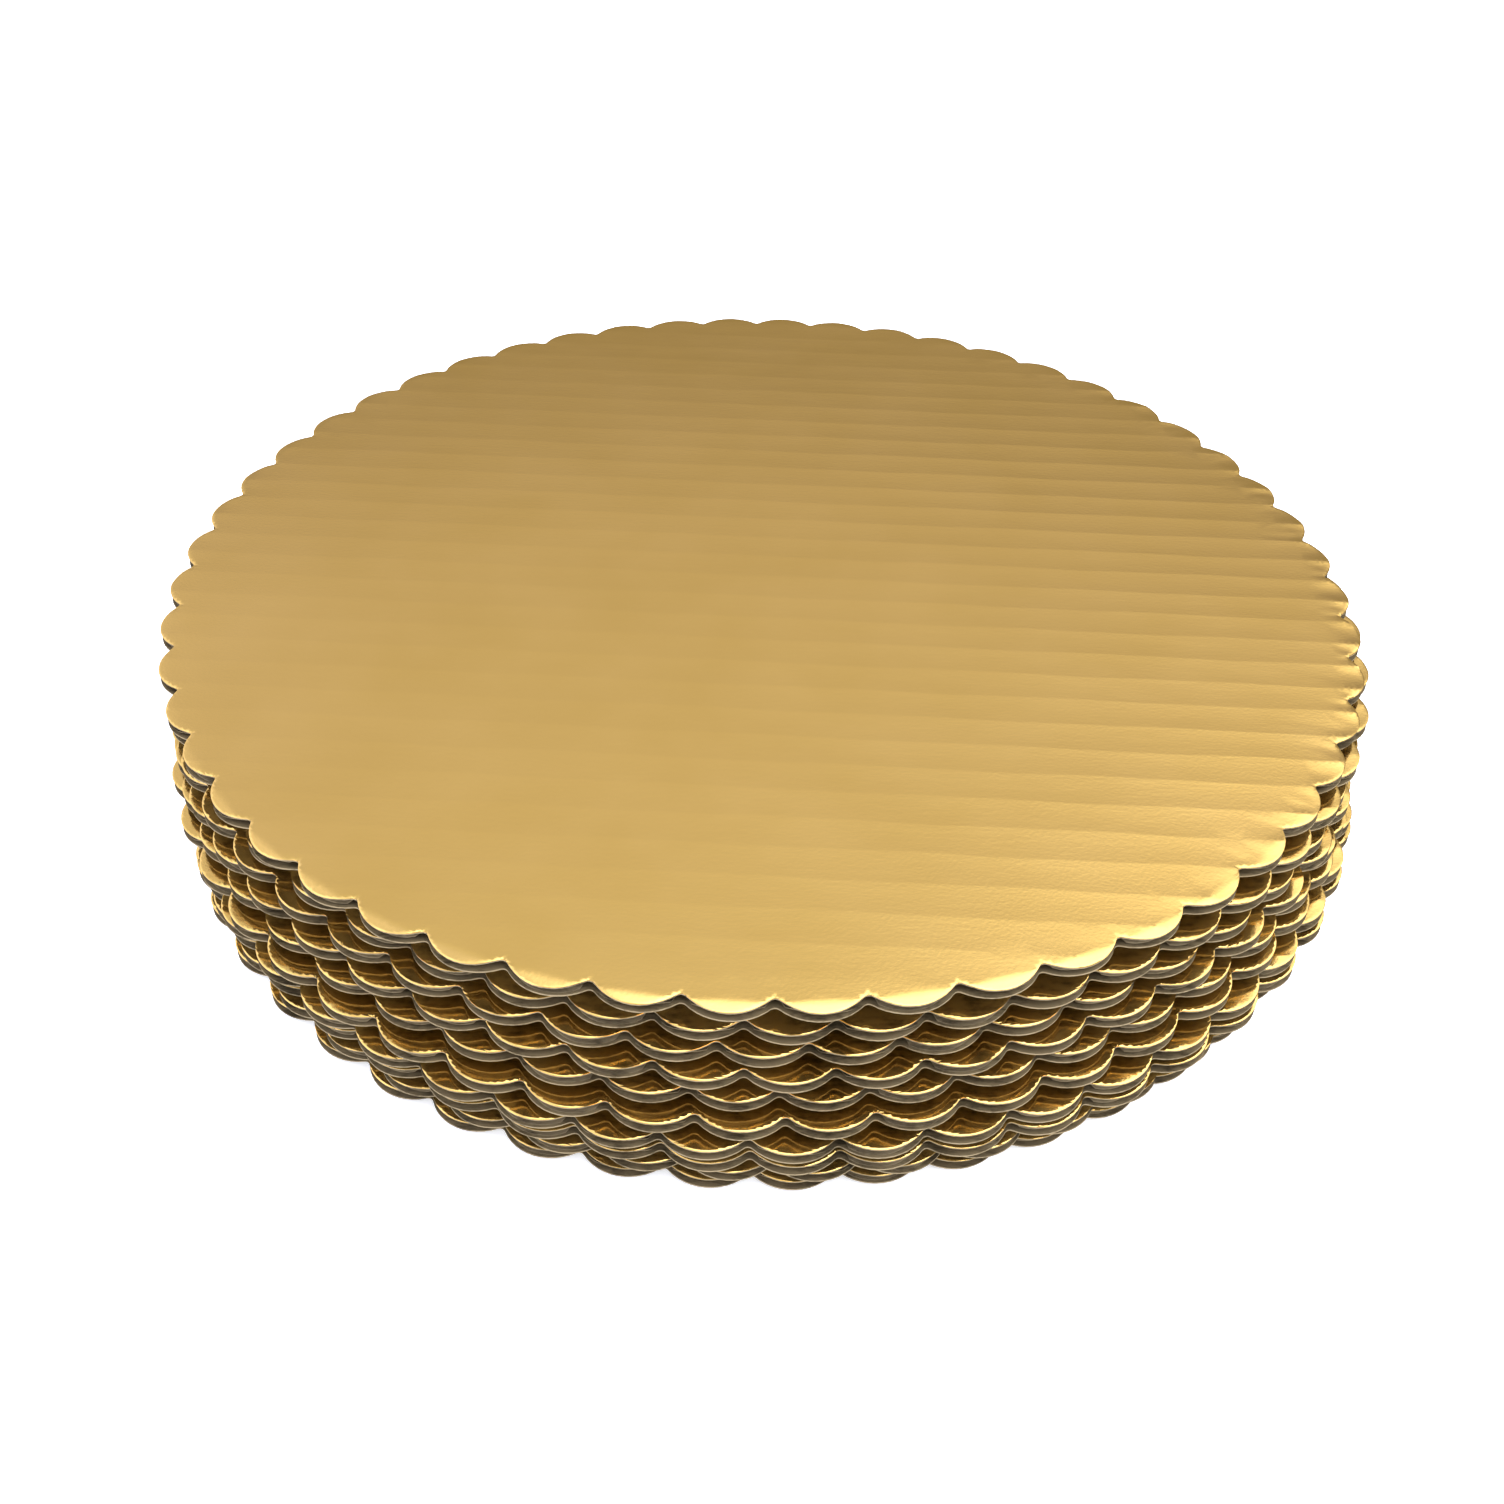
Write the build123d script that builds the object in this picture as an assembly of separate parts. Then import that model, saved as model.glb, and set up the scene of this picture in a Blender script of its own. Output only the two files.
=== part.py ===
from build123d import *
import os

# A pack of round, scalloped cake boards (cake circles) lying on top of each other.
# Every board is single-wall corrugated card in four bonded layers: a gold foil
# laminate, a top liner, a fluted medium and a bottom liner. The cutting die has
# pressed each rim thinner: it pushed the underside up, and the lobes droop a little.
# Lengths are in millimetres and +Z is up. The base of the pack is at z = 0, and the
# middle of the bottom board is at x = y = 0.

# The outline of a board
OUTER_DIAMETER = 254.0
CUSP_DEPTH = 3.5
SCALLOPS = 52

# The layers of a board
FOIL_THICKNESS = 0.1
LINER_THICKNESS = 0.3
FLUTE_HEIGHT = 3.3
FLUTE_PITCH = 7.8
MEDIUM_THICKNESS = 0.2

# The pressed rim: the underside rises over a wide slope, and the top droops near the
# cusps. The widths are measured inwards from the tips of the scallops.
UNDERSIDE_SLOPE_START = 10.0
UNDERSIDE_SLOPE_END = 4.0
UNDERSIDE_RISE = 1.4
DROOP_SLOPE_START = 6.5
DROOP_SLOPE_END = 4.0
DROOP = 0.3

# Where each board lies, from the top of the pack down: twist in degrees, then the
# shift along X and Y. The boards were stacked by hand, so none is quite square.
BOARD_PLACES = [
    (-2.0, -0.5, 5.3),
    (1.7, 1.6, 5.3),
    (0.3, 0.3, 3.9),
    (2.2, 0.7, 1.8),
    (-1.9, 0.5, 1.1),
    (-1.1, -0.1, -1.7),
    (-4.4, 1.0, -3.2),
    (-4.7, 2.0, -2.6),
    (-2.5, 1.0, -1.2),
    (-3.7, 0.0, 0.0),
]

# Sizes that follow from the ones above
TIP_RADIUS = OUTER_DIAMETER / 2
CUSP_RADIUS = TIP_RADIUS - CUSP_DEPTH
RIM_START = TIP_RADIUS - UNDERSIDE_SLOPE_START
RIM_END = TIP_RADIUS - UNDERSIDE_SLOPE_END
DROOP_START = TIP_RADIUS - DROOP_SLOPE_START
DROOP_END = TIP_RADIUS - DROOP_SLOPE_END
PAST_EDGE = TIP_RADIUS + 2
BOARD_THICKNESS = FOIL_THICKNESS + 2 * LINER_THICKNESS + FLUTE_HEIGHT
MEDIUM_BASE = LINER_THICKNESS
TOP_LINER_BASE = MEDIUM_BASE + FLUTE_HEIGHT
FOIL_BASE = TOP_LINER_BASE + LINER_THICKNESS


def polar_point(radius, degrees):
    return Vector(radius, 0, 0).rotate(Axis.Z, degrees)


def scallop_blank():
    """A prism with the scalloped outline, one scallop pointing along +X."""
    step = 360 / SCALLOPS
    arcs = []
    for number in range(SCALLOPS):
        start = polar_point(CUSP_RADIUS, (number - 0.5) * step)
        tip = polar_point(TIP_RADIUS, number * step)
        end = polar_point(CUSP_RADIUS, (number + 0.5) * step)
        arcs.append(ThreePointArc(start, tip, end))
    return extrude(Face(Wire(arcs)), BOARD_THICKNESS)


def turned_disc(corners):
    """The disc swept by a half section, given as (radius, height) corners."""
    section = Wire.make_polygon([Vector(r, 0, z) for r, z in corners], close=True)
    return revolve(Face(section), Axis.Z)


def drooping_edge(height):
    """Half-section corners of a flat face that droops towards the rim, from the middle."""
    low = height - DROOP
    return [(0, height), (DROOP_START, height), (DROOP_END, low), (PAST_EDGE, low)]


def rising_edge(height):
    """Half-section corners of a flat face that is pushed up at the rim, from the middle."""
    raised = height + UNDERSIDE_RISE
    return [(0, height), (RIM_START, height), (RIM_END, raised), (PAST_EDGE, raised)]


def disc_between(lower, upper):
    return turned_disc(lower + upper[::-1])


def wave_arcs(half_waves, offset):
    """Arcs along Y for one face of the wave, at a distance from its middle line."""
    half_pitch = FLUTE_PITCH / 2
    rise = (FLUTE_HEIGHT - MEDIUM_THICKNESS) / 2
    radius = (half_pitch ** 2 / 4 + rise ** 2) / (2 * rise)
    middle = MEDIUM_BASE + FLUTE_HEIGHT / 2
    arcs = []
    for number in range(half_waves):
        side = 1 if number % 2 == 0 else -1
        length = (number - half_waves / 2 + 0.5) * half_pitch
        centre_height = middle + side * (rise - radius)
        arc_radius = radius + side * offset
        spread = half_pitch / 2 * arc_radius / radius
        foot = centre_height + side * (radius - rise) * arc_radius / radius
        arcs.append(ThreePointArc(
            Vector(0, length - spread, foot),
            Vector(0, length, centre_height + side * arc_radius),
            Vector(0, length + spread, foot),
        ))
    return arcs


def wave_sheet():
    """The corrugated sheet, with its flutes along X."""
    half_waves = 2 * (int(OUTER_DIAMETER / FLUTE_PITCH) + 2)
    upper = wave_arcs(half_waves, MEDIUM_THICKNESS / 2)
    lower = wave_arcs(half_waves, -MEDIUM_THICKNESS / 2)
    near_end = Line(upper[0] @ 0, lower[0] @ 0)
    far_end = Line(upper[-1] @ 1, lower[-1] @ 1)
    section = Face(Wire(upper + [far_end] + lower + [near_end]))
    return extrude(section, PAST_EDGE, dir=(1, 0, 0), both=True)


def medium_layer(blank):
    """The wave, joined to the ring where the rim has pressed it flat."""
    overlap = 0.3
    space = disc_between(rising_edge(MEDIUM_BASE), drooping_edge(TOP_LINER_BASE))
    inner = Pos(0, 0, BOARD_THICKNESS / 2) * Cylinder(RIM_START + overlap, BOARD_THICKNESS)
    bore = Pos(0, 0, BOARD_THICKNESS / 2) * Cylinder(RIM_START, BOARD_THICKNESS)
    waves = wave_sheet() & space & inner
    ring = (space - bore) & blank
    return waves + ring


def board_layers():
    """The four layers of one board, each with its name, with the board's base at z = 0."""
    blank = scallop_blank()
    liner_low = drooping_edge(TOP_LINER_BASE)
    foil_low = drooping_edge(FOIL_BASE)
    foil_high = drooping_edge(BOARD_THICKNESS)
    return {
        "foil": disc_between(foil_low, foil_high) & blank,
        "top_liner": disc_between(liner_low, foil_low) & blank,
        "flute_medium": medium_layer(blank),
        "bottom_liner": disc_between(rising_edge(0), rising_edge(MEDIUM_BASE)) & blank,
    }


def only_solid(shape):
    solids = shape.solids()
    assert len(solids) == 1
    return solids[0]


def export_pack():
    """Write every layer of every board, numbered from the top board down."""
    os.makedirs("parts", exist_ok=True)
    layers = board_layers()
    boards = len(BOARD_PLACES)
    for index, (twist, shift_x, shift_y) in enumerate(BOARD_PLACES):
        base = (boards - 1 - index) * BOARD_THICKNESS
        place = Pos(shift_x, shift_y, base) * Rot(0, 0, twist)
        for name, shape in layers.items():
            node = f"{name}_{index + 1:02d}"
            export_step(place * only_solid(shape), f"parts/{node}.step")


export_pack()
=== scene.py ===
"""Looks for a pack of scalloped cake boards: gold foil on corrugated card.

Each board is four bonded sheets. Their shared height fields are functions of the place on
the board: the flutes telegraph through the liners, the die has pushed the underside of the
rim up, and the lobes droop. Board shapes are worked out in millimetres, with the board's
base at z = 0, its middle at x = y = 0 and its flutes along X.
"""
import math

import bpy
import numpy as np
from mathutils import Matrix, Vector
from mathutils.geometry import delaunay_2d_cdt


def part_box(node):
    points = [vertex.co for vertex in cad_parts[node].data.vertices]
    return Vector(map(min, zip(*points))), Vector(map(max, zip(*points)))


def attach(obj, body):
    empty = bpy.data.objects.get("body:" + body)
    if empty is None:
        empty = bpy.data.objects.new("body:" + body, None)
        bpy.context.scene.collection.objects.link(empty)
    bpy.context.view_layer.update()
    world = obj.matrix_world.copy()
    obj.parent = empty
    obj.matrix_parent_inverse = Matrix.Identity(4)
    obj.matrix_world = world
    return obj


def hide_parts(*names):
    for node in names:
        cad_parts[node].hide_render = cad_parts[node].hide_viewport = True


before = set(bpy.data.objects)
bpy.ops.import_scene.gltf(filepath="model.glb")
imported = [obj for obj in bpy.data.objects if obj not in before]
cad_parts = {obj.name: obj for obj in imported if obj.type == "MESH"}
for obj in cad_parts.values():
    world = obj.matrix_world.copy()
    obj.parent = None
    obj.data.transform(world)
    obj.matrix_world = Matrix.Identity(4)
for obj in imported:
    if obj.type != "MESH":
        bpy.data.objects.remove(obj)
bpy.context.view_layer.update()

MM = 0.001

# The boards, as the CAD model has them: the outline and the layers, in millimetres
SCALLOPS = 52
TIP_RADIUS = 127.0
CUSP_RADIUS = 123.5
FLUTE_PITCH = 7.8
FOIL = 0.1
LINER = 0.3
MEDIUM = 0.2
THICKNESS = 4.0

# How each board is turned, in degrees, from the top board down
TWISTS = (-2.0, 1.7, 0.3, 2.2, -1.9, -1.1, -4.4, -4.7, -2.5, -3.7)
BOARDS = len(TWISTS)

# The pressed rim, in millimetres. The top board is loose: its front edge has sprung up,
# and its front lobes hang lower than those of the others.
UNDERSIDE_SLOPE = (117.0, 123.0)
UNDERSIDE_RISE = 1.4
HINGE_RADIUS = 125.0
HINGE_SPREAD = 0.3
DROOP = 0.08
TOP_BOARD_DROOP = 0.45
FRONT_LIFT = 1.35
FRONT_LIFT_START = -35.0
FRONT_LIFT_LENGTH = 90.0
LIP_WIDTH = 0.18
LIP_DROP = 0.09
CUSP_ROUNDING = 1.0

# How far the liners sag between two glue lines, in millimetres: everywhere, towards the
# right, near the rim of the top board, of the boards below, and of every board's underside
SAG_FLAT = 0.012
SAG_RIGHT = 0.025
SAG_RIM = 0.19
SAG_RIM_BELOW = 0.06
SAG_RIM_UNDERSIDE = SAG_RIM / 2
SAG_RIM_WIDTH = 7.0

# How far in front of the board's middle the nearest glue line is, as a share of the pitch,
# and the ripples by which glue lines stray: size, radians per millimetre along X and Y, start
GLUE_PHASE = 0.25
GLUE_RIPPLES = ((0.16, 0.13, 0.31, 0.0), (0.1, 0.29, 0.47, 1.0))

# The least room left for the wave where the rim is pressed flat, in millimetres
LEAST_ROOM = 0.05

# Where a sheet is cut shorter than its board: the width over which its net is squeezed, and
# the distances from a cusp between which the extra cut there fades out
INSET_REACH = 4.0
CUSP_INSET_FADE = (0.8, 2.4)

# The mesh: samples on a scallop, rings in from the edge, and rows along the flutes, whose
# phases are 0 on a glue line
LOBE_SAMPLES = 12
CUSP_SAMPLES = 4
RING_OFFSETS = (0.0, 0.12, 0.3, 0.6, 1.1, 1.8, 2.7, 3.8, 5.2)
RING_REACH = 7.0
ROW_LIMIT = 119.5
RIDGE_ROWS = (0.0, 0.03, 0.25, 0.5, 0.75, 0.97)
WAVE_ROWS = (0.0, 0.125, 0.25, 0.375, 0.5, 0.625, 0.75, 0.875)
COLUMN = 7.0
SAME_POINT = 1e-5
SHARP_ANGLE = math.radians(40.0)

# The closer rows where glue lines run out through the rim's rings: their phases, then where
# they start, the band along the middle without any, their step and their edge clearance
RIDGE_END_ROWS = (0.0, 0.04, 0.96)
RIDGE_END_START = 119.7
RIDGE_END_SIDE = 50.0
RIDGE_END_STEP = 1.3
RIDGE_END_CLEARANCE = 0.25


def smooth(low, high, value):
    share = np.clip((value - low) / (high - low), 0.0, 1.0)
    return share * share * (3.0 - 2.0 * share)


# ---------------------------------------------------------------------- outline and nets

HALF_STEP = math.pi / SCALLOPS


def lobe_circle():
    """Distance of a lobe's centre from the board's middle, and the lobe's radius."""
    across = CUSP_RADIUS * math.sin(HALF_STEP)
    along = CUSP_RADIUS * math.cos(HALF_STEP)
    centre = (TIP_RADIUS ** 2 - along ** 2 - across ** 2) / (2 * (TIP_RADIUS - along))
    return centre, TIP_RADIUS - centre


LOBE_CENTRE, LOBE_RADIUS = lobe_circle()


def cusp_circle():
    """Distance from the board's middle of the circle that rounds a cusp."""
    across = LOBE_CENTRE * math.sin(HALF_STEP)
    along = LOBE_CENTRE * math.cos(HALF_STEP)
    return along + math.sqrt((LOBE_RADIUS + CUSP_ROUNDING) ** 2 - across ** 2)


CUSP_CENTRE = cusp_circle()


def one_scallop():
    """The outline over one scallop that points along +X: its lobe, then its rounded cusp."""
    cusp_x = CUSP_CENTRE * math.cos(HALF_STEP)
    cusp_y = CUSP_CENTRE * math.sin(HALF_STEP)
    meet = math.atan2(cusp_y, cusp_x - LOBE_CENTRE)
    points = []
    for sample in range(LOBE_SAMPLES):
        angle = meet * (2.0 * sample / LOBE_SAMPLES - 1.0)
        points.append((LOBE_CENTRE + LOBE_RADIUS * math.cos(angle),
                       LOBE_RADIUS * math.sin(angle)))
    start = meet + math.pi
    turn = 2.0 * (math.pi + HALF_STEP - start)
    for sample in range(CUSP_SAMPLES):
        angle = start + turn * sample / CUSP_SAMPLES
        points.append((cusp_x + CUSP_ROUNDING * math.cos(angle),
                       cusp_y + CUSP_ROUNDING * math.sin(angle)))
    return np.array(points)


def outline_points():
    """The whole scalloped outline, with one lobe pointing along +X."""
    scallop = one_scallop()
    pieces = []
    for lobe in range(SCALLOPS):
        turn = 2 * HALF_STEP * lobe
        x = scallop[:, 0] * math.cos(turn) - scallop[:, 1] * math.sin(turn)
        y = scallop[:, 0] * math.sin(turn) + scallop[:, 1] * math.cos(turn)
        pieces.append(np.column_stack([x, y]))
    return np.vstack(pieces)


def lobe_frame(x, y):
    """Places along and across the axis of the nearest lobe."""
    radius = np.hypot(x, y)
    off = (np.arctan2(y, x) + HALF_STEP) % (2 * HALF_STEP) - HALF_STEP
    return radius * np.cos(off), radius * np.sin(off)


def edge_distance(x, y):
    """How far a point is inside the scalloped edge."""
    along, across = lobe_frame(x, y)
    from_lobe = LOBE_RADIUS - np.hypot(along - LOBE_CENTRE, across)
    cusp_x = CUSP_CENTRE * math.cos(HALF_STEP)
    cusp_y = CUSP_CENTRE * math.sin(HALF_STEP)
    from_cusp = np.hypot(along - cusp_x, np.abs(across) - cusp_y) - CUSP_ROUNDING
    deep = LOBE_RADIUS + LOBE_CENTRE - np.hypot(x, y)
    inside = np.where(along > LOBE_CENTRE, np.minimum(from_lobe, from_cusp), deep)
    return np.maximum(inside, 0.0)


def cusp_distance(x, y):
    """How far a point is from the nearest cusp."""
    along, across = lobe_frame(x, y)
    cusp_x = CUSP_RADIUS * math.cos(HALF_STEP)
    cusp_y = CUSP_RADIUS * math.sin(HALF_STEP)
    return np.hypot(along - cusp_x, np.abs(across) - cusp_y)


def rim_rings():
    """Rings of points from the outline inwards."""
    outline = outline_points()
    outward = outline / np.hypot(outline[:, 0], outline[:, 1])[:, None]
    inner = outward * (TIP_RADIUS - RING_REACH)
    return [outline + (inner - outline) * (offset / RING_REACH) for offset in RING_OFFSETS]


def wander(x, y):
    """How far a glue line strays from straight."""
    return sum(size * np.sin(along_x * x + along_y * y + start)
               for size, along_x, along_y, start in GLUE_RIPPLES)


def row_points(rows):
    """Points on lines along the flutes, inside the rim's rings."""
    points = []
    flutes = int(ROW_LIMIT / FLUTE_PITCH) + 1
    columns = int(ROW_LIMIT / COLUMN)
    for flute in range(-flutes, flutes + 1):
        for phase in rows:
            level = (flute + phase - GLUE_PHASE) * FLUTE_PITCH
            for column in range(-columns, columns + 1):
                x = column * COLUMN
                y = level + wander(x, level)
                if math.hypot(x, y) < ROW_LIMIT:
                    points.append((x, y))
    return points


def ridge_ends():
    """Closer points on the glue lines where they run out through the rim's rings."""
    points = []
    flutes = int(TIP_RADIUS / FLUTE_PITCH) + 1
    for flute in range(-flutes, flutes + 1):
        for phase in RIDGE_END_ROWS:
            level = (flute + phase - GLUE_PHASE) * FLUTE_PITCH
            for x in np.arange(-TIP_RADIUS, TIP_RADIUS, RIDGE_END_STEP):
                y = level + wander(x, level)
                near_rim = math.hypot(x, y) > RIDGE_END_START and abs(x) > RIDGE_END_SIDE
                if near_rim and edge_distance(x, y) > RIDGE_END_CLEARANCE:
                    points.append((x, y))
    return points


def face_net(rings, inner_points):
    """A face laid flat: its points, its triangles, and the numbers of its edge points."""
    around = len(rings[0])
    points = [Vector(p) for ring in rings for p in ring] + [Vector(p) for p in inner_points]
    result = delaunay_2d_cdt(points, [], [list(range(around))], 1, SAME_POINT)
    coords = np.array([tuple(v) for v in result[0]])
    place_of = {}
    for place, originals in enumerate(result[3]):
        for original in originals:
            place_of[original] = place
    loop = [place_of[i] for i in range(around)]
    return coords, [tuple(face) for face in result[2]], loop


RIM_RINGS = rim_rings()
RIDGE_NET = face_net(RIM_RINGS, row_points(RIDGE_ROWS) + ridge_ends())
WAVE_NET = face_net(RIM_RINGS, row_points(WAVE_ROWS))


# ------------------------------------------------------------------------ height fields

def angular_noise(seed, turns, angle):
    """A smooth periodic wobble round the rim, between about -1 and 1."""
    random = np.random.RandomState(seed)
    total = np.zeros_like(angle)
    for turn in turns:
        size = random.uniform(0.4, 1.0)
        total += size * np.sin(turn * angle + random.uniform(0, 2 * math.pi))
    return total / (0.75 * len(turns))


def dents(seed, x, y):
    """Shallow, wide unevenness of a face, between about -1 and 1."""
    random = np.random.RandomState(seed)
    total = np.zeros_like(x)
    for _ in range(7):
        length = random.uniform(28.0, 90.0)
        direction = random.uniform(0, 2 * math.pi)
        phase = random.uniform(0, 2 * math.pi)
        along = x * math.cos(direction) + y * math.sin(direction)
        total += np.sin(2 * math.pi * along / length + phase)
    return total / 4.0


def flute_phase(x, y):
    """Place between two glue lines under the foil, from 0 to 1."""
    return ((y - wander(x, y)) / FLUTE_PITCH + GLUE_PHASE) % 1.0


def lower_phase(x, y):
    """Place between two glue lines on the bottom liner, which are half a pitch away."""
    return (flute_phase(x, y) + 0.5) % 1.0


def liner_sag(phase):
    """0 on a glue line, 1 midway between two: sharp ridges with smooth hollows between."""
    return 4.0 * phase * (1.0 - phase)


def across_flutes(angle):
    """1 where the flutes run straight into the rim, 0 where they run along it."""
    return np.abs(np.cos(angle)) ** 1.5


def field_sag(x, y):
    """The depth of the sag away from the rim: more towards the right, less at the back."""
    right = SAG_RIGHT * smooth(-40.0, 105.0, x) * (1.0 - 0.5 * smooth(0.0, 100.0, y))
    return SAG_FLAT + right


class Board:
    """The height fields of one board, as functions of the place on it."""

    def __init__(self, number):
        self.seed = 100 * number
        self.droop = TOP_BOARD_DROOP if number == 1 else DROOP
        self.front_lift = FRONT_LIFT if number == 1 else 0.0
        self.rim_sag = SAG_RIM if number == 1 else SAG_RIM_BELOW

    def rim_strength(self, angle):
        """How strongly the die has marked the rim, about 1."""
        return 1.0 + 0.22 * angular_noise(self.seed + 1, (2, 3, 5, 9, 17, 31), angle)

    def lip_strength(self, angle):
        """How far the foil's lip is rolled over, about 1: uneven, and nearly none in places."""
        noise = angular_noise(self.seed + 4, (23, 41, 67, 103, 139, 171), angle)
        return np.clip(0.85 + 1.2 * noise, 0.05, 2.2)

    def lift(self, y):
        """How far the board's front has sprung up."""
        share = np.clip((FRONT_LIFT_START - y) / FRONT_LIFT_LENGTH, 0.0, 1.0)
        return self.front_lift * share ** 2

    def lobe_droop(self, x, y):
        """How far the lobes hang: flat flaps, which hang most at the front."""
        angle = np.arctan2(y, x)
        along, _ = lobe_frame(x, y)
        hinge = HINGE_RADIUS + HINGE_SPREAD * across_flutes(angle)
        share = np.clip((along - hinge) / (TIP_RADIUS - hinge), 0.0, 1.0)
        front = 0.1 + 0.9 * smooth(0.45, 1.0, -np.sin(angle))
        return self.droop * front * self.rim_strength(angle) * share

    def extra_sag(self, x, y):
        """How much deeper the sag is near the rim: a ragged band, deepest at the right."""
        radius = np.hypot(x, y)
        angle = np.arctan2(y, x)
        ragged = 1.0 + 0.75 * angular_noise(self.seed + 5, (29, 47, 73, 109, 151, 197), angle)
        near_rim = smooth(0.0, 1.0, 1.0 - (TIP_RADIUS - radius) / (SAG_RIM_WIDTH * ragged))
        right = 0.12 + 0.88 * smooth(-0.2, 0.9, np.cos(angle))
        depth = self.rim_sag * right * across_flutes(angle) * self.rim_strength(angle)
        return depth * near_rim

    def top(self, x, y):
        """The upper face of the foil."""
        angle = np.arctan2(y, x)
        sag = (field_sag(x, y) + self.extra_sag(x, y)) * liner_sag(flute_phase(x, y))
        lip = np.clip(1.0 - edge_distance(x, y) / LIP_WIDTH, 0.0, 1.0) ** 2
        roll = LIP_DROP * self.lip_strength(angle) * lip
        flat = 0.02 * dents(self.seed + 2, x, y) - 0.02
        return THICKNESS + self.lift(y) + flat - self.lobe_droop(x, y) - sag - roll

    def underside(self, x, y):
        """The lower face of the bottom liner."""
        radius = np.hypot(x, y)
        angle = np.arctan2(y, x)
        wobble = 1.0 + 0.12 * angular_noise(self.seed + 3, (2, 4, 7, 13, 23), angle)
        rise = UNDERSIDE_RISE * wobble * smooth(*UNDERSIDE_SLOPE, radius)
        near_rim = smooth(TIP_RADIUS - SAG_RIM_WIDTH, TIP_RADIUS, radius)
        depth = SAG_FLAT + SAG_RIM_UNDERSIDE * across_flutes(angle) * near_rim
        return rise + depth * liner_sag(lower_phase(x, y)) + self.lift(y)

    def foil_low(self, x, y):
        return self.top(x, y) - FOIL

    def liner_low(self, x, y):
        return self.top(x, y) - FOIL - LINER

    def bottom_high(self, x, y):
        return self.underside(x, y) + LINER

    def medium_middle(self, x, y):
        """The middle of the fluting's wall, which is up against a liner on every glue line."""
        low = self.bottom_high(x, y)
        high = self.liner_low(x, y)
        room = np.maximum(high - low - MEDIUM, LEAST_ROOM)
        wave = np.cos(2 * math.pi * flute_phase(x, y))
        return (low + high) / 2 + wave * room / 2

    def medium_high(self, x, y):
        return self.medium_middle(x, y) + MEDIUM / 2

    def medium_low(self, x, y):
        return self.medium_middle(x, y) - MEDIUM / 2


# -------------------------------------------------------------------------- sheet meshes

# The material slots of a sheet; its upper face has slot 0
UNDER = 1
EDGE = 2


def drawn_in(coords, inset, cusp_inset):
    """Net points with the cut edge set back, and further back at the cusps."""
    x = coords[:, 0]
    y = coords[:, 1]
    at_cusp = 1.0 - smooth(*CUSP_INSET_FADE, cusp_distance(x, y))
    share = np.maximum(0.0, 1.0 - edge_distance(x, y) / INSET_REACH)
    shift = (inset + cusp_inset * at_cusp) * share / np.hypot(x, y).clip(1.0)
    return coords - coords * shift[:, None]


def sheet_mesh(name, low, high, net, inset, cusp_inset):
    """A closed sheet between two height fields, cut to the scalloped outline."""
    flat, triangles, loop = net
    flat = drawn_in(flat, inset, cusp_inset)
    x = flat[:, 0]
    y = flat[:, 1]
    count = len(flat)
    faces = list(triangles)
    faces += [(count + c, count + b, count + a) for a, b, c in triangles]
    for last, this in zip([loop[-1]] + loop, loop):
        faces.append((this, last, count + last, count + this))
    upper = np.column_stack([flat, high(x, y)])
    lower = np.column_stack([flat, low(x, y)])
    mesh = bpy.data.meshes.new(name)
    mesh.from_pydata((np.vstack([upper, lower]) * MM).tolist(), [], faces)
    sides = np.zeros(len(faces), int)
    sides[len(triangles):] = UNDER
    sides[2 * len(triangles):] = EDGE
    mesh.polygons.foreach_set("use_smooth", np.ones(len(faces), bool))
    mesh.polygons.foreach_set("material_index", sides)
    mesh.set_sharp_from_angle(angle=SHARP_ANGLE)
    mesh.update()
    return mesh


# ----------------------------------------------------------------------------- materials

# The depth of the foil's grain and streaks, and of the paper's fibres, in metres
FOIL_RELIEF = 0.00003
FIBRE_RELIEF = 0.00012

# How the fibres are stretched: roughly along the flutes on a sheet, level on its cut edge
SHEET_FIBRES = (0.25, 1.0, 2.5)
FLUTING_FIBRES = (0.25, 1.0, 1.0)
EDGE_FIBRES = (1.0, 1.0, 5.0)


def new_material(name):
    material = bpy.data.materials.new(name)
    material.use_nodes = True
    nodes = material.node_tree.nodes
    return material, nodes, material.node_tree.links, nodes["Principled BSDF"]


def noise_node(nodes, links, vector, scale, detail, roughness=0.5):
    node = nodes.new("ShaderNodeTexNoise")
    node.inputs["Scale"].default_value = scale
    node.inputs["Detail"].default_value = detail
    node.inputs["Roughness"].default_value = roughness
    links.new(vector, node.inputs["Vector"])
    return node.outputs["Fac"]


def stretched(nodes, links, scale):
    """Object coordinates, scaled differently along each axis."""
    coordinates = nodes.new("ShaderNodeTexCoord")
    mapping = nodes.new("ShaderNodeMapping")
    mapping.inputs["Scale"].default_value = scale
    links.new(coordinates.outputs["Object"], mapping.inputs["Vector"])
    return mapping.outputs["Vector"]


def ramp_node(nodes, links, factor, stops):
    node = nodes.new("ShaderNodeValToRGB")
    ramp = node.color_ramp
    ramp.elements[0].position = stops[0][0]
    ramp.elements[0].color = (*stops[0][1], 1.0)
    ramp.elements[1].position = stops[-1][0]
    ramp.elements[1].color = (*stops[-1][1], 1.0)
    for position, colour in stops[1:-1]:
        ramp.elements.new(position).color = (*colour, 1.0)
    links.new(factor, node.inputs["Fac"])
    return node.outputs["Color"]


def bump_node(nodes, links, height, distance, strength, normal=None):
    node = nodes.new("ShaderNodeBump")
    node.inputs["Distance"].default_value = distance
    node.inputs["Strength"].default_value = strength
    links.new(height, node.inputs["Height"])
    if normal is not None:
        links.new(normal, node.inputs["Normal"])
    return node.outputs["Normal"]


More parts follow.
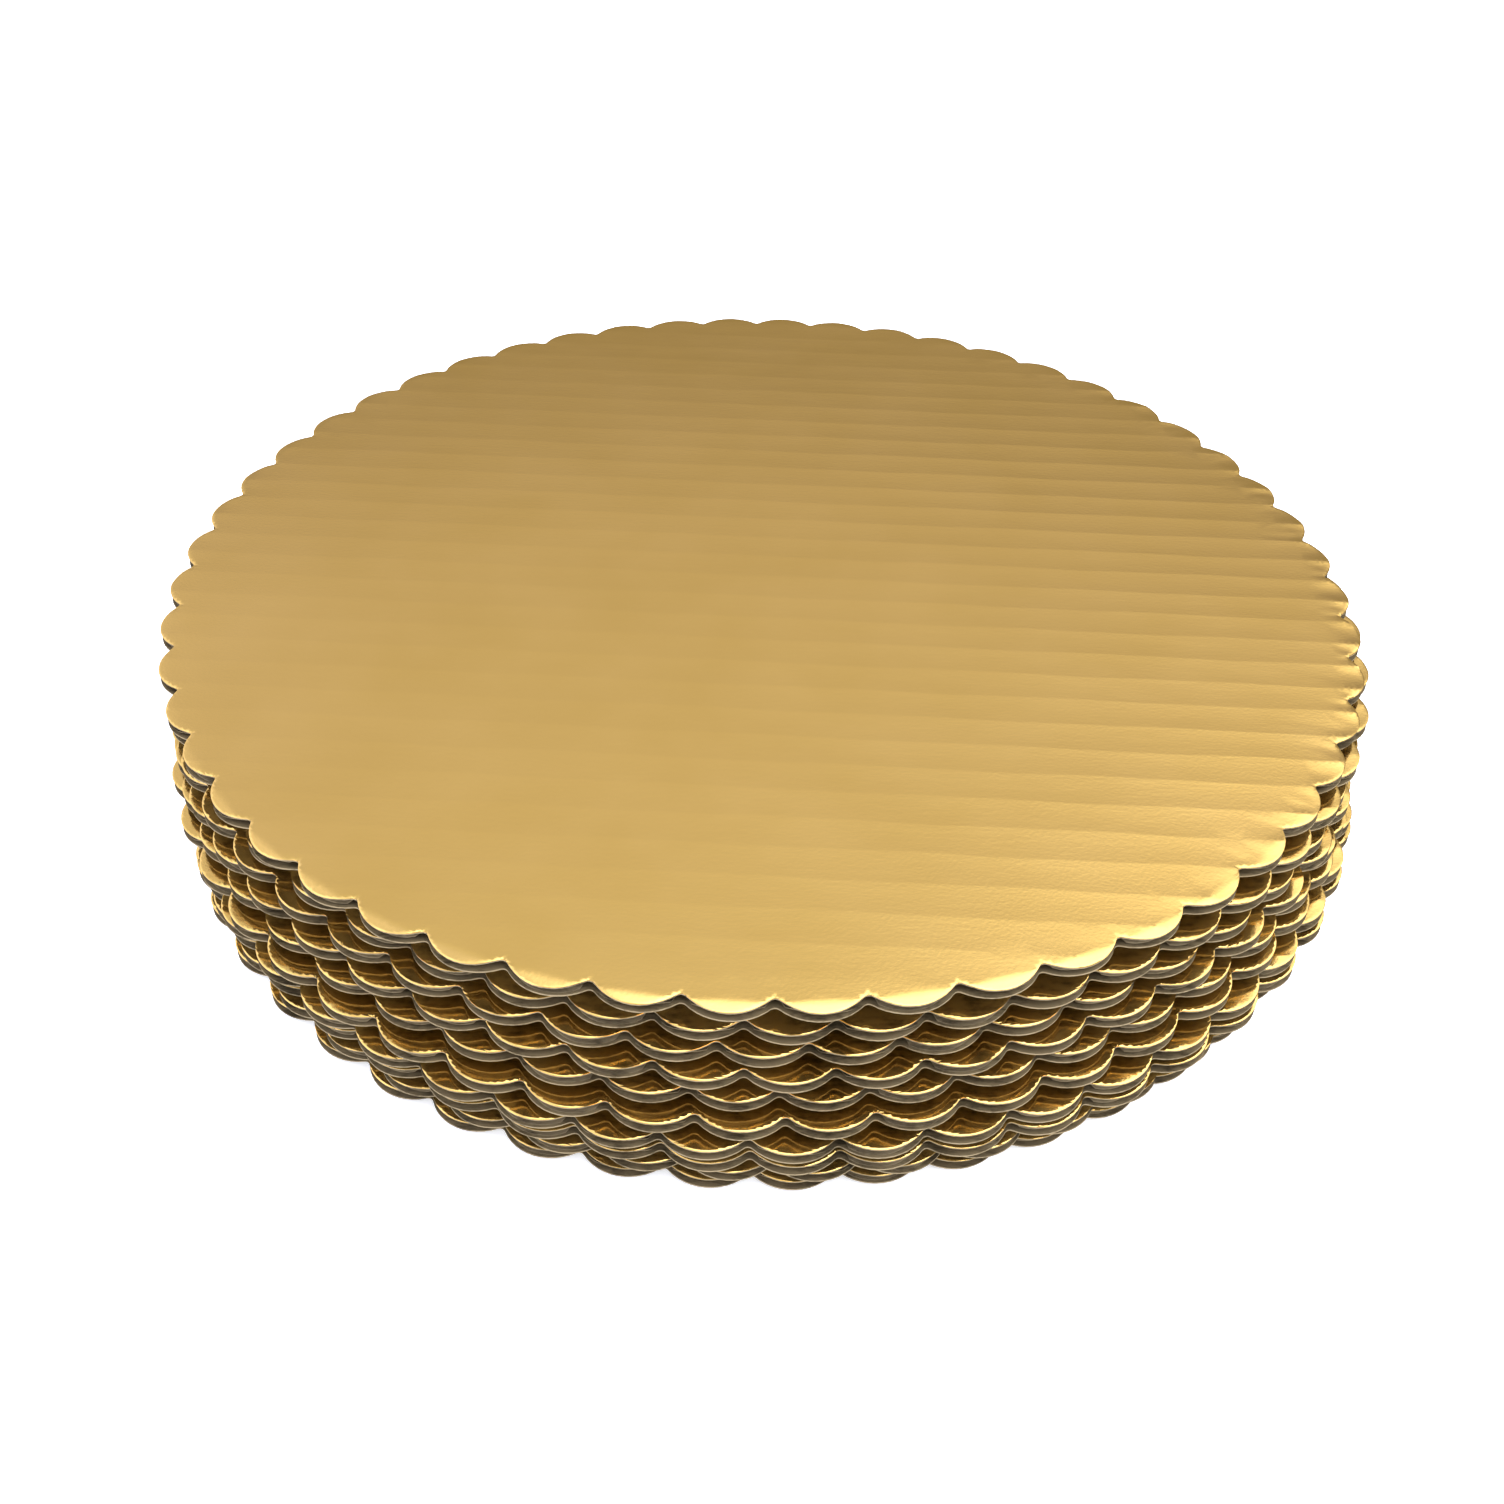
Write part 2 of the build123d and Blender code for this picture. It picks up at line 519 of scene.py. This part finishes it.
def range_node(nodes, links, value, low, high):
    """Noise, most of which lies between 0.25 and 0.75, stretched to another range."""
    node = nodes.new("ShaderNodeMapRange")
    node.inputs["From Min"].default_value = 0.25
    node.inputs["From Max"].default_value = 0.75
    node.inputs["To Min"].default_value = low
    node.inputs["To Max"].default_value = high
    links.new(value, node.inputs["Value"])
    return node.outputs["Result"]


def math_node(nodes, links, operation, first, second, third=0.0):
    node = nodes.new("ShaderNodeMath")
    node.operation = operation
    for value, socket in zip((first, second, third), node.inputs):
        if isinstance(value, float):
            socket.default_value = value
        else:
            links.new(value, socket)
    return node.outputs[0]


def vector_sum(nodes, links, first, second):
    node = nodes.new("ShaderNodeVectorMath")
    node.operation = "ADD"
    links.new(first, node.inputs[0])
    links.new(second, node.inputs[1])
    return node.outputs[0]


def gold_foil():
    """Satin metallised foil: paper grain, faint streaks along the flutes, soft mottling."""
    material, nodes, links, shader = new_material("gold_foil")
    plain = stretched(nodes, links, (1.0, 1.0, 1.0))
    streaked = stretched(nodes, links, (0.12, 1.0, 1.0))
    mottle = noise_node(nodes, links, plain, scale=45.0, detail=4.0)
    grain = noise_node(nodes, links, plain, scale=1500.0, detail=3.0)
    streaks = noise_node(nodes, links, streaked, scale=900.0, detail=3.0)
    colour = ramp_node(nodes, links, mottle, (
        (0.3, (0.81, 0.52, 0.155)), (0.7, (0.85, 0.55, 0.175))))
    links.new(colour, shader.inputs["Base Color"])
    links.new(range_node(nodes, links, streaks, 0.1, 0.16), shader.inputs["Roughness"])
    shader.inputs["Metallic"].default_value = 1.0
    shader.inputs["Specular Tint"].default_value = (0.88, 0.74, 0.45, 1.0)
    grainy = bump_node(nodes, links, grain, FOIL_RELIEF, 0.5)
    relief = bump_node(nodes, links, streaks, FOIL_RELIEF, 0.15, grainy)
    links.new(relief, shader.inputs["Normal"])
    return material


def kraft(name, dark, light, stretch):
    """Paper board: matt, with short fibres and cloudy colour between dark and light."""
    material, nodes, links, shader = new_material(name)
    plain = stretched(nodes, links, (1.0, 1.0, 1.0))
    fibrous = stretched(nodes, links, stretch)
    clouds = noise_node(nodes, links, plain, scale=160.0, detail=5.0, roughness=0.6)
    fibres = noise_node(nodes, links, fibrous, scale=1100.0, detail=4.0, roughness=0.7)
    both = math_node(nodes, links, "MULTIPLY_ADD", clouds, 0.9, fibres)
    colour = ramp_node(nodes, links, both, ((0.72, dark), (1.18, light)))
    links.new(colour, shader.inputs["Base Color"])
    shader.inputs["Roughness"].default_value = 0.85
    shader.inputs["Specular IOR Level"].default_value = 0.0
    links.new(bump_node(nodes, links, fibres, FIBRE_RELIEF, 0.5), shader.inputs["Normal"])
    return material


# ------------------------------------------------------------------------ building boards

# Each layer's label, its lower and upper face, its net, and how far its edge is cut back,
# with the extra at the cusps
LAYERS = {
    "foil": ("foil_sheet", "foil_low", "top", RIDGE_NET, 0.0, 0.0),
    "top_liner": ("top_liner_sheet", "liner_low", "foil_low", RIDGE_NET, 0.04, 0.0),
    "flute_medium": ("fluted_sheet", "medium_low", "medium_high", WAVE_NET, 0.5, 1.5),
    "bottom_liner": ("bottom_liner_sheet", "underside", "bottom_high", RIDGE_NET, 0.0, 0.0),
}


def board_materials():
    """The materials of each layer: its upper face, its lower face and its cut edge."""
    gold = gold_foil()
    # The underside's colour is partly kraft paper and partly painted shade: it is made darker
    # and greyer to stand for the shade under each board, which the foil of the board below
    # mirrors.
    liner = kraft("kraft_liner", (0.054, 0.048, 0.038), (0.142, 0.127, 0.1), SHEET_FIBRES)
    inner = kraft("liner_inside", (0.065, 0.049, 0.027), (0.165, 0.125, 0.068), SHEET_FIBRES)
    liner_edge = kraft("liner_edge", (0.1, 0.077, 0.044), (0.33, 0.257, 0.15), EDGE_FIBRES)
    fluting = kraft("fluting", (0.075, 0.058, 0.034), (0.19, 0.147, 0.085), FLUTING_FIBRES)
    return {
        "foil": (gold, gold, gold),
        "top_liner": (inner, inner, liner_edge),
        "flute_medium": (fluting, fluting, fluting),
        "bottom_liner": (inner, liner, liner_edge),
    }


def build_board(number, materials):
    """The four sheets of one board, in place of its CAD layers."""
    board = Board(number)
    low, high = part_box(f"flute_medium_{number:02d}")
    middle = (low + high) / 2
    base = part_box(f"bottom_liner_{number:02d}")[0].z
    turn = Matrix.Rotation(math.radians(TWISTS[number - 1]), 4, "Z")
    for layer, (label, low_name, high_name, net, inset, cusp_inset) in LAYERS.items():
        name = f"{label}_{number:02d}"
        mesh = sheet_mesh(name, getattr(board, low_name), getattr(board, high_name),
                          net, inset, cusp_inset)
        mesh.transform(turn)
        for material in materials[layer]:
            mesh.materials.append(material)
        piece = bpy.data.objects.new(name, mesh)
        bpy.context.scene.collection.objects.link(piece)
        piece.location = (middle.x, middle.y, base)
        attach(piece, f"board_{number:02d}")
        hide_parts(f"{layer}_{number:02d}")


def build_boards():
    materials = board_materials()
    for number in range(1, BOARDS + 1):
        build_board(number, materials)


# ------------------------------------------------------------------------ camera and light

# The camera: its place from the middle of the top board's face, in metres, how far it looks
# down and is rolled, in radians, and its lens in millimetres
CAMERA_PLACE = Vector((-0.0015, -0.2931, 0.1943))
CAMERA_DOWN = math.radians(40.03)
CAMERA_ROLL = math.radians(1.40)
LENS = 38.19

# The studio: its backdrop, how much brighter it is in front, how far round that reaches,
# and half the floor's side in metres
BACKDROP_COLOUR = (0.86, 0.86, 0.86, 1.0)
FRONT_BOOST = 0.5
FRONT_SPREAD = 0.35
FLOOR_HALF = 3.0


def add_camera():
    low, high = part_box("foil_01")
    middle = Vector(((low.x + high.x) / 2, (low.y + high.y) / 2, high.z))
    forward = Vector((0.0, math.cos(CAMERA_DOWN), -math.sin(CAMERA_DOWN)))
    level = Vector((1.0, 0.0, 0.0))
    up = level.cross(forward)
    right = level * math.cos(CAMERA_ROLL) + up * math.sin(CAMERA_ROLL)
    top = up * math.cos(CAMERA_ROLL) - level * math.sin(CAMERA_ROLL)
    turn = Matrix((right, top, -forward)).transposed().to_4x4()
    data = bpy.data.cameras.new("camera")
    data.sensor_width = 36.0
    data.lens = LENS
    data.clip_start = 0.01
    camera = bpy.data.objects.new("camera", data)
    camera.matrix_world = Matrix.Translation(middle + CAMERA_PLACE) @ turn
    bpy.context.scene.collection.objects.link(camera)
    bpy.context.scene.camera = camera


def add_softbox(name, place, size, power):
    """A diffusing panel that points at the pack and isn't mirrored in the foil."""
    data = bpy.data.lights.new(name, "AREA")
    data.shape = "SQUARE"
    data.size = size
    data.energy = power
    light = bpy.data.objects.new(name, data)
    light.location = place
    light.rotation_euler = (-Vector(place)).to_track_quat("-Z", "Y").to_euler()
    light.visible_glossy = False
    bpy.context.scene.collection.objects.link(light)


def add_lights():
    add_softbox("overhead_softbox", place=(0.2, -0.2, 1.4), size=1.2, power=7.0)
    add_softbox("right_softbox", place=(1.2, -0.6, 1.0), size=0.9, power=0.7)


def studio_glow(nodes, links, direction):
    """The studio's colour in every direction, the sum of three ramps."""
    height = ramp_node(nodes, links, direction["Z"], (
        (0.0, (0.5, 0.5, 0.5)),
        (0.35, (0.38, 0.38, 0.42)),
        (0.45, (0.44, 0.44, 0.55)),
        (0.52, (0.64, 0.64, 0.71)),
        (0.59, (0.70, 0.705, 0.75)),
        (0.66, (0.77, 0.78, 0.80)),
        (0.74, (0.84, 0.865, 0.85)),
        (1.0, (0.84, 0.87, 0.95))))
    # The right-hand ramp lights the sky straight up too, where it is at its last stop
    up_right = math_node(nodes, links, "MULTIPLY_ADD", direction["X"], 0.5, direction["Z"])
    right = ramp_node(nodes, links, up_right, (
        (0.66, (0.0, 0.0, 0.0)),
        (0.73, (0.06, 0.065, 0.08)),
        (0.77, (0.24, 0.25, 0.27)),
        (0.81, (0.56, 0.58, 0.62)),
        (0.87, (1.1, 1.14, 1.3)),
        (1.0, (2.0, 2.1, 2.4))))
    to_left = math_node(nodes, links, "MULTIPLY", direction["X"], -1.0)
    left = ramp_node(nodes, links, to_left, (
        (0.22, (0.0, 0.0, 0.0)),
        (0.33, (0.04, 0.045, 0.12)),
        (0.7, (0.9, 0.95, 1.3))))
    return vector_sum(nodes, links, height, vector_sum(nodes, links, right, left))


def front_strength(nodes, links, direction):
    """The studio's strength: 1, and more in front of the pack, where the viewer stands."""
    forward = math_node(nodes, links, "MULTIPLY", direction["Y"], -1.0)
    reach = math_node(nodes, links, "ADD", forward, FRONT_SPREAD)
    front = math_node(nodes, links, "MAXIMUM", reach, 0.0)
    return math_node(nodes, links, "MULTIPLY_ADD", front, FRONT_BOOST, 1.0)


def add_world():
    """A pale studio that lights the pack, behind a plain backdrop that the camera sees."""
    world = bpy.data.worlds.new("studio")
    world.use_nodes = True
    bpy.context.scene.world = world
    nodes = world.node_tree.nodes
    links = world.node_tree.links
    coordinates = nodes.new("ShaderNodeTexCoord")
    split = nodes.new("ShaderNodeSeparateXYZ")
    links.new(coordinates.outputs["Generated"], split.inputs["Vector"])
    lighting = nodes["Background"]
    links.new(studio_glow(nodes, links, split.outputs), lighting.inputs["Color"])
    links.new(front_strength(nodes, links, split.outputs), lighting.inputs["Strength"])
    backdrop = nodes.new("ShaderNodeBackground")
    backdrop.inputs["Color"].default_value = BACKDROP_COLOUR
    seen = nodes.new("ShaderNodeLightPath")
    choice = nodes.new("ShaderNodeMixShader")
    links.new(seen.outputs["Is Camera Ray"], choice.inputs["Fac"])
    links.new(lighting.outputs["Background"], choice.inputs[1])
    links.new(backdrop.outputs["Background"], choice.inputs[2])
    links.new(choice.outputs["Shader"], nodes["World Output"].inputs["Surface"])


def add_floor():
    """A plain pale floor that the foil doesn't mirror."""
    mesh = bpy.data.meshes.new("floor")
    signs = ((-1, -1), (1, -1), (1, 1), (-1, 1))
    corners = [(side * FLOOR_HALF, depth * FLOOR_HALF, 0.0) for side, depth in signs]
    mesh.from_pydata(corners, [], [(0, 1, 2, 3)])
    material, _, _, shader = new_material("floor")
    shader.inputs["Base Color"].default_value = (0.93, 0.93, 0.93, 1.0)
    shader.inputs["Roughness"].default_value = 0.9
    shader.inputs["Emission Color"].default_value = (1.0, 1.0, 1.0, 1.0)
    shader.inputs["Emission Strength"].default_value = 0.5
    mesh.materials.append(material)
    floor = bpy.data.objects.new("floor", mesh)
    floor.visible_glossy = False
    bpy.context.scene.collection.objects.link(floor)


bpy.context.scene.view_settings.view_transform = "Standard"
add_camera()
build_boards()
add_floor()
add_lights()
add_world()
